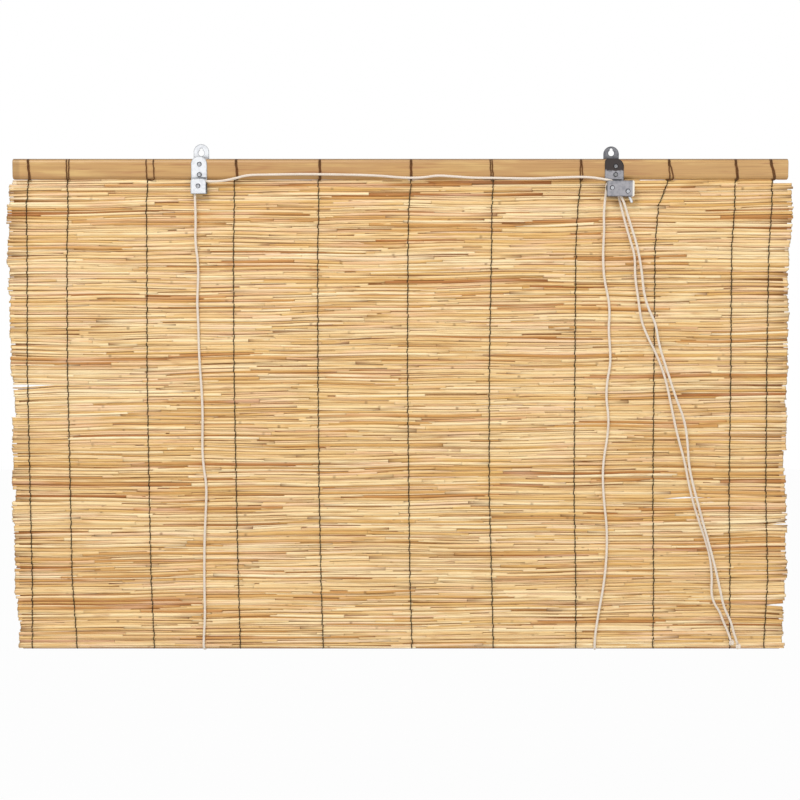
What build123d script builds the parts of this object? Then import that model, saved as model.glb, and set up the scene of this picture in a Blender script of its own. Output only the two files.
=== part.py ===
from build123d import *
import os
from math import atan, cos, pi, radians, sin, sqrt, tan

# A bamboo roll up blind, in millimetres.
# The origin is midway between the round holes of the two keyholes, on the wall plane.
# +X is to the right and +Z up, and the room is on the -Y side.

# Keyhole hangers
hanger_spacing = 477.3
hanger_width = 18.0
hanger_thick = 1.2
keyhole_r = 3.4
key_slot_r = 1.7
key_slot_rise = 3.9
left_hanger_top = 10.4
right_hanger_top = 7.8

# Head rail: a batten with its front edges rounded over
rail_left = -456.8
rail_length = 900.0
rail_top = -6.9
rail_height = 24.0
rail_depth = 11.0
rail_edge_r = 5.0
rail_end_chamfer = 0.8

# Mat: rows of reeds under the rail, tied in bands
row_dia = 4.2
row_pitch = 4.6
rows_per_band = 5
band_count = 24
mat_left = -462.5
mat_right = 447.5
ragged = 3.5
rail_to_row = 0.3
mat_behind_rail_front = 4.7

# Bottom rail: a lath behind the last rows
lath_height = 16.0
lath_thick = 3.0
lath_short_of_mat = 6.0
lath_gap = 0.2
lath_rise = 2.8

# Warp threads: each a loop round both rails and every row
warp_x = (-440.5, -394.0, -301.1, -198.3, -101.4, 4.3, 100.7, 201.8, 298.0, 383.0, 424.8)
thread_thick = 0.7
thread_clear = 0.1

# Pulley hardware, in folded steel
sheet = 1.0
axle_r = 1.2
bore_clear = 0.05
wheel_width = 4.4
wheel_side_gap = 0.4
groove_width = 3.8
groove_floor_width = 3.2
flange_rise = 2.7
rivet_r = 1.55
rivet_hole_r = 1.6
head_r = 2.65
head_high = 1.3

# Cords
cord_dia = 2.8
cord_clear = 0.3
knot_r = 3.4
wrap_slack = 0.3
front_wheel_leave = 3.8
back_wheel_leave = 4.6
anchor_knot_r = 3.1
anchor_knot_thick = 3.8

# Left pulley
left_axle = (-240.8, -38.6)
left_groove_r = 2.9
left_plate_x = (-249.4, -231.0)
left_plate_top = -4.0
left_cheek_z = (-47.6, -30.1)
left_cheek_right = -231.6
left_rivets = ((-239.8, -13.3), (-239.8, -25.2))

# Right pulleys and cord lock
right_axle = (237.6, -40.8)
right_groove_r = 3.9
right_plate_x = (230.2, 252.0)
right_plate_top = -6.9
right_plate_round = 9.0
right_plate_corner = 4.0
right_cheek_x = (231.7, 263.2)
right_cheek_z = (-50.7, -32.6)
right_rivets = ((242.8, -15.6), (242.8, -25.2))
cam_pivot = (255.7, -44.7)
cam_face_out = 7.1
cam_face_length = 5.4
cam_face_lean = 30.0
cam_teeth = 5
cam_tooth_deep = 0.5
cam_hub_r = 3.7
cam_pin_r = 1.3
cam_tail = (5.3, -12.8)
cam_tail_wide = 3.0

# Anchor grooves behind the rail, where the lift cords end in knots
anchor_x = 233.5
groove_wide = 4.0
pocket_r = 3.9
pocket_z = -14.0

# Places that follow from the sizes above
rail_bottom = rail_top - rail_height
rail_back = -hanger_thick
rail_front = rail_back - rail_depth
rail_mid = rail_top - rail_height / 2
mat_y = rail_front + mat_behind_rail_front
row_r = row_dia / 2
first_row_z = rail_bottom - rail_to_row - row_r
row_count = rows_per_band * band_count
last_row_z = first_row_z - (row_count - 1) * row_pitch
mat_bottom = last_row_z - row_r
lath_front = mat_y + row_r + lath_gap
lath_back = lath_front + lath_thick
lath_bottom = mat_bottom + lath_rise
plate_back = rail_front
plate_front = plate_back - sheet
one_wheel_room = wheel_width + 2 * wheel_side_gap
two_wheel_room = 2 * wheel_width + 3 * wheel_side_gap
back_wheel_y = plate_front - wheel_side_gap - wheel_width / 2
front_wheel_y = back_wheel_y - wheel_width - wheel_side_gap
left_cheek_back = plate_front - one_wheel_room
right_cheek_back = plate_front - two_wheel_room
cord_r = cord_dia / 2
left_wrap_r = left_groove_r + cord_clear + cord_r
right_wrap_r = right_groove_r + cord_clear + cord_r
back_cord_y = mat_y + row_r + cord_clear + cord_r
anchor_groove_floor = back_cord_y - cord_r - cord_clear

# Routes of the cords, as (x, y, z) points from one end to the other
left_front_run = (
    (-244.0, -15.0, -74.0),
    (-245.5, -13.8, -102.0),
    (-242.0, -12.9, -128.5),
    (-242.5, -12.4, -149.5),
    (-244.0, -12.2, -172.0),
    (-242.7, -12.4, -198.0),
    (-242.5, -12.2, -222.0),
    (-241.5, -12.5, -248.0),
    (-239.5, -12.3, -275.0),
    (-238.5, -12.6, -308.5),
    (-239.5, -12.3, -342.0),
    (-238.5, -12.4, -364.0),
    (-235.0, -12.6, -386.0),
    (-235.5, -12.3, -411.0),
    (-237.2, -12.5, -438.0),
    (-238.3, -12.3, -470.0),
    (-238.5, -12.5, -510.5),
    (-238.0, -12.2, -545.0),
    (-240.0, -11.9, -570.0),
)
left_back_run = (
    (-237.6, -0.3, -560.0),
    (-236.2, -1.2, -525.0),
    (-235.4, -3.0, -470.0),
    (-236.4, -3.5, -412.0),
    (-235.2, -3.3, -353.0),
    (-234.6, -3.6, -294.0),
    (-235.3, -3.4, -235.0),
    (-234.2, -3.6, -176.0),
    (-233.7, -3.5, -118.0),
    (-233.9, -3.65, -62.0),
)
right_front_run = (
    (228.8, -15.2, -66.0),
    (230.0, -14.2, -88.0),
    (229.0, -13.2, -109.0),
    (229.2, -12.6, -128.5),
    (231.0, -12.3, -148.0),
    (236.2, -12.2, -170.0),
    (237.5, -12.4, -186.0),
    (236.2, -12.5, -204.0),
    (238.2, -12.3, -226.0),
    (239.0, -12.5, -245.0),
    (234.8, -12.3, -267.5),
    (234.4, -12.4, -287.0),
    (237.5, -12.6, -307.5),
    (236.5, -12.3, -330.0),
    (232.0, -12.5, -356.0),
    (231.0, -12.3, -380.0),
    (233.0, -12.5, -409.0),
    (236.5, -12.3, -436.0),
    (237.0, -12.5, -467.0),
    (234.0, -12.3, -505.0),
    (227.5, -12.5, -541.0),
    (223.5, -12.0, -570.0),
)
right_back_run = (
    (225.2, -0.3, -560.0),
    (227.4, -1.2, -525.0),
    (229.6, -3.0, -470.0),
    (230.4, -3.5, -412.0),
    (232.0, -3.3, -353.0),
    (232.4, -3.6, -294.0),
    (231.6, -3.4, -235.0),
    (232.9, -3.6, -176.0),
    (233.3, -3.5, -118.0),
    (233.1, -3.65, -62.0),
)
cross_run = (
    (-219.5, -15.6, -33.8),
    (-199.5, -15.3, -30.4),
    (-185.0, -15.2, -26.0),
    (-163.0, -15.0, -25.6),
    (-123.0, -15.1, -24.9),
    (-77.0, -15.0, -25.4),
    (-34.0, -15.1, -26.4),
    (-3.0, -15.2, -29.3),
    (19.0, -15.0, -29.0),
    (35.0, -15.1, -26.4),
    (51.0, -15.2, -27.3),
    (76.0, -15.0, -29.2),
    (108.5, -15.2, -29.4),
    (147.0, -15.3, -30.2),
    (182.0, -15.8, -28.6),
    (210.0, -17.6, -28.1),
    (229.5, -20.6, -31.1),
)
pull_left_run = (
    (247.0, -15.6, -54.0),
    (253.0, -15.0, -77.0),
    (260.2, -14.4, -101.0),
    (266.2, -13.9, -119.0),
    (266.2, -13.6, -143.5),
    (270.8, -13.4, -171.0),
    (273.8, -13.5, -193.0),
    (280.5, -13.4, -211.0),
    (292.5, -13.4, -233.5),
    (303.5, -13.5, -262.0),
    (310.0, -13.4, -292.0),
    (317.8, -13.4, -328.0),
    (326.8, -13.5, -358.5),
    (332.2, -13.4, -385.5),
    (338.0, -13.4, -410.0),
    (349.3, -13.5, -443.0),
    (358.2, -13.4, -470.0),
    (361.3, -13.4, -497.0),
    (360.4, -13.5, -516.5),
    (364.4, -13.4, -529.5),
    (371.0, -13.4, -538.5),
    (374.8, -13.5, -549.5),
    (381.0, -13.4, -562.5),
)
pull_right_run = (
    (247.6, -20.2, -49.4),
    (252.4, -19.6, -58.5),
    (258.4, -18.8, -79.0),
    (267.4, -18.0, -105.0),
    (273.6, -17.5, -136.0),
    (276.2, -17.2, -162.0),
    (282.0, -17.0, -181.0),
    (290.8, -17.0, -198.0),
    (294.4, -17.1, -222.0),
    (304.4, -17.0, -252.0),
    (315.0, -17.1, -284.0),
    (325.6, -17.0, -310.0),
    (329.6, -17.1, -336.0),
    (331.4, -17.0, -365.0),
    (338.0, -17.0, -392.0),
    (345.6, -17.1, -419.5),
    (354.0, -17.0, -449.0),
    (363.0, -17.1, -480.5),
    (370.0, -17.0, -510.0),
    (375.0, -17.0, -533.0),
    (383.6, -17.1, -549.5),
    (387.4, -17.0, -564.0),
)
pull_left_end = (384.4, -14.3, -572.6)
pull_right_end = (391.6, -18.2, -576.4)


def block(x, y, z):
    """A box between two values along each axis."""
    low = [min(x), min(y), min(z)]
    size = [max(x) - min(x), max(y) - min(y), max(z) - min(z)]
    return Pos(*low) * Box(*size, align=(Align.MIN, Align.MIN, Align.MIN))


def rod_y(x, z, radius, front, back):
    """A round bar along Y, from the room side to the wall side."""
    return Pos(x, (front + back) / 2, z) * Rot(90, 0, 0) * Cylinder(radius, back - front)


def plate_xz(sketch, front, back):
    """A sheet piece whose outline is drawn in X and Z, between two Y values."""
    return extrude(Plane.XZ.offset(-back) * sketch, amount=back - front)


def head_rail():
    outline = Plane.YZ * Rectangle(rail_depth, rail_height)
    batten = Pos(rail_left, (rail_front + rail_back) / 2, rail_mid) * extrude(outline, amount=rail_length)
    long_edges = batten.edges().filter_by(Axis.X).group_by(Axis.Y)[0]
    batten = fillet(long_edges, rail_edge_r)
    ends = batten.faces().sort_by(Axis.X)
    batten = chamfer(ends[0].edges() + ends[-1].edges(), rail_end_chamfer)
    for x, z in left_rivets + right_rivets:
        batten -= rod_y(x, z, rivet_hole_r, rail_front - 1, rail_back + 1)
    for side in (-1, 1):
        x = side * anchor_x
        half = groove_wide / 2
        batten -= block((x - half, x + half), (anchor_groove_floor, rail_back + 1), (rail_bottom - 1, pocket_z))
        batten -= rod_y(x, pocket_z, pocket_r, anchor_groove_floor, rail_back + 1)
    return batten


def reed_row(index):
    """One row of the mat. The ends of the rows are uneven."""
    z = first_row_z - index * row_pitch
    left = mat_left + ragged * sin(index * 2.4)
    right = mat_right + ragged * sin(index * 1.7 + 1)
    return Pos((left + right) / 2, mat_y, z) * Rot(0, 90, 0) * Cylinder(row_r, right - left)


def reed_band(band):
    return Compound([reed_row(band * rows_per_band + i) for i in range(rows_per_band)])


def bottom_rail():
    x = (mat_left + lath_short_of_mat, mat_right - lath_short_of_mat)
    lath = block(x, (lath_front, lath_back), (lath_bottom, lath_bottom + lath_height))
    back_edges = lath.edges().filter_by(Axis.X).group_by(Axis.Y)[-1]
    return fillet(back_edges, lath_thick / 3)


def thread_outline(out):
    """Section of a warp loop in Y and Z, moved outwards by a distance."""
    front_rail = rail_front - out
    back_rail = rail_back + out
    front_mat = mat_y - row_r - out
    back_mat = mat_y + row_r + out
    shoulder = rail_bottom - out
    lath_top = lath_bottom + lath_height + out
    bottom = mat_bottom - out
    return Polyline(
        (front_rail, rail_top + out),
        (front_rail, shoulder),
        (front_mat, shoulder - row_r),
        (front_mat, bottom),
        (lath_back + out, bottom),
        (lath_back + out, lath_top),
        (back_mat, lath_top + row_r),
        (back_mat, shoulder - row_r),
        (back_rail, shoulder),
        (back_rail, rail_top + out),
        close=True,
    )


def warp_loop(x):
    outer = make_face(thread_outline(thread_clear + thread_thick))
    inner = make_face(thread_outline(thread_clear))
    return Pos(x - thread_thick / 2, 0, 0) * extrude(Plane.YZ * (outer - inner), amount=thread_thick)


def warp_threads():
    return Compound([warp_loop(x) for x in warp_x])


def hanger_plate(x, top, rivets):
    """A strip with a round top and a keyhole, flat on the back of the rail."""
    half = hanger_width / 2
    low = rail_bottom
    outline = Pos(x, (low + top - half) / 2) * Rectangle(hanger_width, top - half - low)
    outline += Pos(x, top - half) * Circle(half)
    outline -= Pos(x, 0) * Circle(keyhole_r)
    outline -= Pos(x, key_slot_rise / 2) * Rectangle(2 * key_slot_r, key_slot_rise)
    outline -= Pos(x, key_slot_rise) * Circle(key_slot_r)
    for rivet_x, rivet_z in rivets:
        outline -= Pos(rivet_x, rivet_z) * Circle(rivet_hole_r)
    return plate_xz(outline, -hanger_thick, 0)


def rounded_head(x, z, front, radius=head_r):
    """A low domed rivet head whose flat side is at a Y value."""
    head = rod_y(x, z, radius, front - head_high, front)
    rim = head.edges().group_by(Axis.Y)[0]
    return fillet(rim, head_high * 0.7)


def plate_rivets(rivets):
    """Rivets through the front plate, the rail and the hanger."""
    return Compound([rod_y(x, z, rivet_r, plate_front, 0) + rounded_head(x, z, plate_front) for x, z in rivets])


def cheek_pin(x, z, radius, cheek_front):
    """A pin through both cheeks with a head on each outer side."""
    back_head = rod_y(x, z, radius + 0.8, plate_back, plate_back + 0.7)
    return rod_y(x, z, radius, cheek_front, plate_back) + rounded_head(x, z, cheek_front) + back_head


def left_housing():
    """A back plate on the rail, folded forwards at its left edge into a front cheek."""
    cheek_front = left_cheek_back - sheet
    x0, x1 = left_plate_x
    z0, z1 = left_cheek_z
    half = (x1 - x0) / 2
    back = Pos((x0 + x1) / 2, (z0 + left_plate_top - half) / 2) * Rectangle(2 * half, left_plate_top - half - z0)
    back += Pos((x0 + x1) / 2, left_plate_top - half) * Circle(half)
    for x, z in left_rivets:
        back -= Pos(x, z) * Circle(rivet_hole_r)
    front = Pos((x0 + left_cheek_right) / 2, (z0 + z1) / 2) * Rectangle(left_cheek_right - x0, z1 - z0)
    front = fillet(front.vertices().group_by(Axis.Y)[-1], 4)
    body = plate_xz(back, plate_front, plate_back) + plate_xz(front, cheek_front, left_cheek_back)
    body += block((x0, x0 + sheet), (cheek_front, plate_back), (z0, z1 - 4))
    return body - rod_y(*left_axle, axle_r, cheek_front - 1, plate_back + 1)


def right_housing():
    """A plate on the rail that widens below it, folded forwards at its right edge."""
    cheek_front = right_cheek_back - sheet
    px0, px1 = right_plate_x
    cx0, cx1 = right_cheek_x
    z0, z1 = right_cheek_z
    upper = Pos((px0 + px1) / 2, (z1 + right_plate_top) / 2) * Rectangle(px1 - px0, right_plate_top - z1)
    upper = fillet(upper.vertices().group_by(Axis.Y)[-1].sort_by(Axis.X)[-1], right_plate_round)
    upper = fillet(upper.vertices().group_by(Axis.Y)[-1].sort_by(Axis.X)[0], right_plate_corner)
    lower = Pos((cx0 + cx1) / 2, (z0 + z1) / 2) * Rectangle(cx1 - cx0, z1 - z0)
    back = upper + lower
    for x, z in right_rivets:
        back -= Pos(x, z) * Circle(rivet_hole_r)
    front = fillet(lower.vertices(), 1.5)
    body = plate_xz(back, plate_front, plate_back) + plate_xz(front, cheek_front, right_cheek_back)
    body += block((cx1 - sheet, cx1), (cheek_front, plate_back), (z0 + 1.5, z1 - 1.5))
    body -= rod_y(*right_axle, axle_r, cheek_front - 1, plate_back + 1)
    return body - rod_y(*cam_pivot, cam_pin_r, cheek_front - 1, plate_back + 1)


def wheel(axle, y, groove_r):
    """A grooved pulley wheel, turned about Y."""
    flange_r = groove_r + flange_rise
    half = wheel_width / 2
    groove = groove_width / 2
    floor = groove_floor_width / 2
    section = Polyline(
        (axle_r + bore_clear, -half),
        (flange_r, -half),
        (flange_r, -groove),
        (groove_r, -floor),
        (groove_r, floor),
        (flange_r, groove),
        (flange_r, half),
        (axle_r + bore_clear, half),
        close=True,
    )
    turned = revolve(Plane.XY * make_face(section), Axis.Y)
    return Pos(axle[0], y, axle[1]) * turned


def lock_cam():
    """The locking cam: a hub, a toothed face beside the pull cords and a finger tail."""
    lean = radians(cam_face_lean)
    out = (-cos(lean), -sin(lean))
    up = (-sin(lean), cos(lean))
    face = []
    steps = 2 * cam_teeth
    for i in range(steps + 1):
        rise = cam_face_length * i / steps
        depth = cam_face_out - (cam_tooth_deep if i % 2 else 0)
        face.append((out[0] * depth + up[0] * rise, out[1] * depth + up[1] * rise))
    jaw = make_face(Polyline(*face, (0, cam_hub_r * 0.9), (0, -cam_hub_r * 0.9), close=True))
    profile = jaw + Circle(cam_hub_r)
    profile -= Circle(cam_pin_r + bore_clear)
    y0 = front_wheel_y - wheel_width / 2
    y1 = back_wheel_y + wheel_width / 2
    cam = plate_xz(Pos(*cam_pivot) * profile, y0, y1)
    tail_turn = Rot(0, 0, -atan(cam_tail[0] / cam_tail[1]) * 180 / pi)
    length = sqrt(cam_tail[0] ** 2 + cam_tail[1] ** 2)
    tail = Pos(0, -(length + cam_hub_r) / 2) * Rectangle(cam_tail_wide, length - cam_hub_r + 1)
    tail = fillet(tail.vertices().group_by(Axis.Y)[0], 1.2)
    middle = (y0 + y1) / 2
    tail = plate_xz(Pos(*cam_pivot) * tail_turn * tail, middle - cam_tail_wide / 2, middle + cam_tail_wide / 2)
    return cam + tail


def turn_at(points, i):
    """The route's turn at a point, in degrees."""
    before = Vector(*points[i]) - Vector(*points[i - 1])
    after = Vector(*points[i + 1]) - Vector(*points[i])
    return before.get_angle(after)


def cord_tube(name, points, tight=()):
    """Straight runs joined by tangent arcs. tight gives the radius at corners held by a wheel or an edge."""
    radii = []
    for i in range(1, len(points) - 1):
        runs = [(Vector(*points[i]) - Vector(*points[i + k])).length for k in (-1, 1)]
        radius = 0.45 * min(runs) / tan(radians(turn_at(points, i)) / 2)
        radii.append(dict(tight).get(i, radius))
    path = FilletPolyline(*points, radius=radii)
    start = Plane(origin=path @ 0, z_dir=path % 0)
    tube = sweep(start * Circle(cord_r), path=path)
    section = pi * cord_r**2
    print(name, "length", round(path.length, 1), "volume ratio", round(tube.volume / section / path.length, 4))
    print("  radii", [round(r, 1) for r in radii])
    return tube


def lift_points(start, front_run, back_run, knot_x):
    """Down the front from the pulley, under the bottom and up the back to the knot's pocket."""
    under = mat_bottom - cord_clear - cord_r
    x, y, z = front_run[-1]
    back_x, back_y, back_z = back_run[0]
    edge = [(x, y + 0.1, under), (back_x, back_y - 0.2, under - 0.1)]
    knot_bottom = pocket_z - anchor_knot_r
    top = [(knot_x, back_cord_y, knot_bottom)]
    return [start, *front_run, *edge, *back_run, *top]


def left_lift_points():
    start = (left_axle[0] - left_wrap_r, back_wheel_y, left_axle[1])
    return lift_points(start, left_front_run, left_back_run, -anchor_x)


def right_lift_points():
    start = (right_axle[0] - right_wrap_r, back_wheel_y, right_axle[1])
    return lift_points(start, right_front_run, right_back_run, anchor_x)


def lift_cord(name, points, front_count):
    """A lift cord. Its two corners under the mat are as tight as the mat's bottom edge."""
    edge_r = 4.9
    return cord_tube(name, points, {front_count + 1: edge_r, front_count + 2: edge_r})


def along(start, beyond, distance):
    """The point that lies a distance past start, coming straight from beyond."""
    way = (Vector(*start) - Vector(*beyond)).normalized()
    return tuple(Vector(*start) + way * distance)


def left_pull_points():
    """The left cord from its pulley across the rail, over the front wheel of the lock and down."""
    start = left_lift_points()[0]
    corner = along(start, left_front_run[0], left_wrap_r)
    over_wheel = (right_axle[0] + front_wheel_leave, front_wheel_y, right_axle[1] + right_wrap_r)
    return [start, corner, *cross_run, over_wheel, *pull_right_run, pull_right_end]


def right_pull_points():
    """The right cord over the back wheel of the lock and down."""
    start = right_lift_points()[0]
    corner = along(start, right_front_run[0], right_wrap_r)
    over_wheel = (right_axle[0] + back_wheel_leave, back_wheel_y, right_axle[1] + right_wrap_r)
    return [start, corner, over_wheel, *pull_left_run, pull_left_end]


def left_pull_cord():
    points = left_pull_points()
    at_lock = 2 + len(cross_run)
    return cord_tube("left_pull_cord", points, {1: left_wrap_r - wrap_slack, at_lock: right_wrap_r})


def right_pull_cord():
    bend = right_wrap_r - wrap_slack
    return cord_tube("right_pull_cord", right_pull_points(), {1: bend, 2: bend})


def pull_knot(points):
    """An overhand knot at a pull cord's end, flat where the cord enters."""
    drop = sqrt(knot_r**2 - cord_r**2)
    way = Vector(*points[-1]) - Vector(*points[-2])
    beyond = Box(4 * knot_r, 4 * knot_r, 4 * knot_r)
    knot = Pos(0, 0, drop) * Sphere(knot_r) & Pos(0, 0, 2 * knot_r) * beyond
    return Plane(origin=points[-1], z_dir=way) * knot


def anchor_knot(x):
    """The knot in the pocket behind the rail, flat below where the cord enters."""
    y = back_cord_y
    half = anchor_knot_thick / 2
    knot = rod_y(x, pocket_z, anchor_knot_r, y - half + 0.2, y + half + 0.2)
    knot = fillet(knot.edges(), half * 0.8)
    low = pocket_z - anchor_knot_r + 0.35
    return knot & block((x - 9, x + 9), (y - 9, y + 9), (low, low + 18))


def parts():
    left_x = -hanger_spacing / 2
    right_x = hanger_spacing / 2
    left_front = left_cheek_back - sheet
    right_front = right_cheek_back - sheet
    pieces = {
        "head_rail": head_rail(),
        "bottom_rail": bottom_rail(),
        "warp_threads": warp_threads(),
        "left_hanger_plate": hanger_plate(left_x, left_hanger_top, left_rivets),
        "left_housing": left_housing(),
        "left_wheel": wheel(left_axle, back_wheel_y, left_groove_r),
        "left_axle": cheek_pin(*left_axle, axle_r, left_front),
        "left_rivets": plate_rivets(left_rivets),
        "right_hanger_plate": hanger_plate(right_x, right_hanger_top, right_rivets),
        "right_housing": right_housing(),
        "right_wheel_back": wheel(right_axle, back_wheel_y, right_groove_r),
        "right_wheel_front": wheel(right_axle, front_wheel_y, right_groove_r),
        "right_axle": cheek_pin(*right_axle, axle_r, right_front),
        "lock_cam": lock_cam(),
        "cam_pin": cheek_pin(*cam_pivot, cam_pin_r, right_front),
        "right_rivets": plate_rivets(right_rivets),
        "left_lift_cord": lift_cord("left_lift_cord", left_lift_points(), len(left_front_run)),
        "right_lift_cord": lift_cord("right_lift_cord", right_lift_points(), len(right_front_run)),
        "left_pull_cord": left_pull_cord(),
        "right_pull_cord": right_pull_cord(),
        "left_anchor_knot": anchor_knot(-anchor_x),
        "right_anchor_knot": anchor_knot(anchor_x),
        "left_pull_knot": pull_knot(left_pull_points()),
        "right_pull_knot": pull_knot(right_pull_points()),
    }
    for band in range(band_count):
        pieces[f"reed_band_{band + 1:02d}"] = reed_band(band)
    return pieces


def main():
    os.makedirs("parts", exist_ok=True)
    for name, shape in parts().items():
        export_step(shape, f"parts/{name}.step")


main()
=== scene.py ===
import math
import random

import bpy
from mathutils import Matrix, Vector


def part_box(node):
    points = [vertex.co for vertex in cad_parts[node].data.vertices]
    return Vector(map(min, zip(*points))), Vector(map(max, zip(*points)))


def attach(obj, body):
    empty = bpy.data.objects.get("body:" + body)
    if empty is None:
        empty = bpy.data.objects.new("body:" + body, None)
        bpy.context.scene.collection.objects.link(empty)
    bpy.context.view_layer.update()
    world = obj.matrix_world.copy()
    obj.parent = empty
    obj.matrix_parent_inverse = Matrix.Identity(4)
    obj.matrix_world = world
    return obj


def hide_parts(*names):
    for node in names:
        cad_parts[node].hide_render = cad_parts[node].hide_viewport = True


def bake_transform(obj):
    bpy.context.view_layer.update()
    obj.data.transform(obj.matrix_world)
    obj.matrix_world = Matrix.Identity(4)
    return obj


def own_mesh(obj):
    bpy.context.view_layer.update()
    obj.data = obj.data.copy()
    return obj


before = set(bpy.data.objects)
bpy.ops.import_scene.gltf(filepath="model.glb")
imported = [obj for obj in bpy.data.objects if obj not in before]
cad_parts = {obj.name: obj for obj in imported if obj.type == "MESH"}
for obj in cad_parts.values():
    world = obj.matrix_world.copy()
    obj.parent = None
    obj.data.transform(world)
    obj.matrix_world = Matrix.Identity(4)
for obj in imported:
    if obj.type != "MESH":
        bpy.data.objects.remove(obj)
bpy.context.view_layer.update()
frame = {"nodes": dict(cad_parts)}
nodes = frame["nodes"]
draw = random.Random(11)

# A bamboo roll up blind. Sizes and places below are in millimetres in the CAD frame,
# and mm turns them into Blender's metres.
mm = 0.001

# The mat
row_pitch = 4.6
first_row_z = -33.3
row_count = 120
rows_per_band = 5
fixed_bands = 3
band_count = 24
mat_y = -7.5
left_edge = ((-33, -462.0), (-205, -464.4), (-290, -462.6), (-478, -462.8), (-550, -460.5), (-585, -458.5))
right_edge = ((-33, 449.0), (-105, 448.0), (-171, 446.0), (-335, 446.5), (-478, 448.0), (-585, 448.5))
gaps = (
    {"x": -454.0, "row": 51.5, "half": 30.0, "open": 2.6},
    {"x": 333.0, "row": 80.5, "half": 18.0, "open": 2.3},
    {"x": 447.0, "row": 87.5, "half": 9.0, "open": 1.9},
    {"x": 449.0, "row": 108.5, "half": 9.0, "open": 2.0},
)

# Rails
rail_top = -6.9
rail_bottom = -30.9
rail_front = -12.2
rail_back = -1.2
rail_round_r = 3.2
lath_back = -2.2

# Warp threads: x at these heights down the mat
warp_heights = (-36, -62, -110, -250, -400, -500, -575)
warp_paths = (
    (-439.2, -441.9, -441.7, -444.1, -443.2, -442.4, -443.7),
    (-393.7, -393.3, -395.3, -397.0, -395.8, -395.3, -390.8),
    (-300.3, -302.3, -302.2, -303.7, -302.9, -301.8, -299.1),
    (-199.7, -200.0, -201.4, -201.9, -200.1, -198.7, -196.9),
    (-102.2, -101.8, -103.2, -103.5, -102.6, -100.8, -98.6),
    (5.5, 2.9, 1.9, 1.4, 3.1, 4.4, 6.8),
    (100.9, 99.5, 99.4, 97.3, 97.8, 101.3, 103.3),
    (202.4, 199.6, 197.5, 197.6, 197.8, 200.7, 201.3),
    (302.9, 293.1, 289.8, 290.2, 290.7, 292.8, 292.9),
    (381.8, 382.0, 379.2, 380.3, 380.5, 383.2, 383.9),
    (424.8, 425.1, 422.4, 422.4, 423.8, 427.8, 424.6),
)
# x of each thread's two strands where they cross the head rail's top and bottom edges
rail_strands = (
    ((-439.2, -437.9), (-437.8, -436.5)),
    ((-394.0, -393.8), (-391.0, -391.4)),
    ((-301.6, -300.9), (-293.2, -292.4)),
    ((-198.0, -196.6), (-196.6, -195.2)),
    ((-101.0, -100.8), (-99.6, -99.4)),
    ((4.8, 4.9), (6.2, 6.3)),
    ((97.2, 98.2), (99.4, 100.6)),
    ((201.9, 201.6), (203.3, 204.6)),
    ((303.9, 305.6), (305.4, 309.6)),
    ((381.2, 383.4), (382.6, 385.0)),
    ((422.0, 426.0), (423.6, 427.8)),
)
strand_r = 0.58
rail_strand_r = 0.72

# Cords
cord_r = 1.4
cord_sides = 12
cord_step = 1.3
cord_twist = 9.5
cord_strands = 3
cord_strand_bulge = 0.06
cord_yarns = 9.0
knot_r = 3.3
anchor_knot_r = 2.9


def blend_share(value, low, high):
    """Smooth step from 0 at low to 1 at high."""
    t = min(1.0, max(0.0, (value - low) / (high - low)))
    return t * t * (3 - 2 * t)


def from_table(table, z):
    """Straight line between the table's (z, x) entries, which run downwards."""
    for (z0, x0), (z1, x1) in zip(table, table[1:]):
        if z >= z1:
            share = min(1.0, max(0.0, (z0 - z) / (z0 - z1)))
            return x0 + (x1 - x0) * share
    return table[-1][1]


class Builder:
    """Collects vertices, faces, a UV per corner and four numbers per vertex for one mesh."""

    def __init__(self):
        self.points = []
        self.marks = []
        self.faces = []
        self.uvs = []

    def ring_tube(self, rings):
        """Joins rings, which are lists of equally many (point, mark, length) entries, into a closed tube."""
        sides = len(rings[0])
        first = len(self.points)
        for ring in rings:
            for point, mark, length in ring:
                self.points.append(point)
                self.marks.append(mark)
        for i in range(len(rings) - 1):
            low = rings[i][0][2]
            high = rings[i + 1][0][2]
            for k in range(sides):
                a = first + i * sides + k
                b = first + i * sides + (k + 1) % sides
                self.faces.append((a, b, b + sides, a + sides))
                v0 = k / sides
                v1 = (k + 1) / sides
                self.uvs.extend(((low, v0), (low, v1), (high, v1), (high, v0)))
        self.faces.append(tuple(first + k for k in reversed(range(sides))))
        self.uvs.extend((rings[0][0][2], k / sides) for k in range(sides))
        last = first + (len(rings) - 1) * sides
        self.faces.append(tuple(last + k for k in range(sides)))
        self.uvs.extend((rings[-1][0][2], k / sides) for k in range(sides))

    def make(self, name, material):
        mesh = bpy.data.meshes.new(name)
        mesh.from_pydata([tuple(c * mm for c in p) for p in self.points], [], self.faces)
        layer = mesh.uv_layers.new(name="run")
        layer.data.foreach_set("uv", [c for uv in self.uvs for c in uv])
        marks = mesh.color_attributes.new(name="marks", type="FLOAT_COLOR", domain="POINT")
        marks.data.foreach_set("color", [c for mark in self.marks for c in mark])
        mesh.polygons.foreach_set("use_smooth", [True] * len(mesh.polygons))
        mesh.materials.append(material)
        mesh.update()
        piece = bpy.data.objects.new(name, mesh)
        bpy.context.scene.collection.objects.link(piece)
        return piece


# Materials


def linear(red, green, blue):
    """A colour as seen, 0 to 255, as the shader's linear values."""
    values = []
    for c in (red, green, blue):
        c = c / 255
        values.append(c / 12.92 if c <= 0.04045 else ((c + 0.055) / 1.055) ** 2.4)
    return (*values, 1.0)


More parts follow.
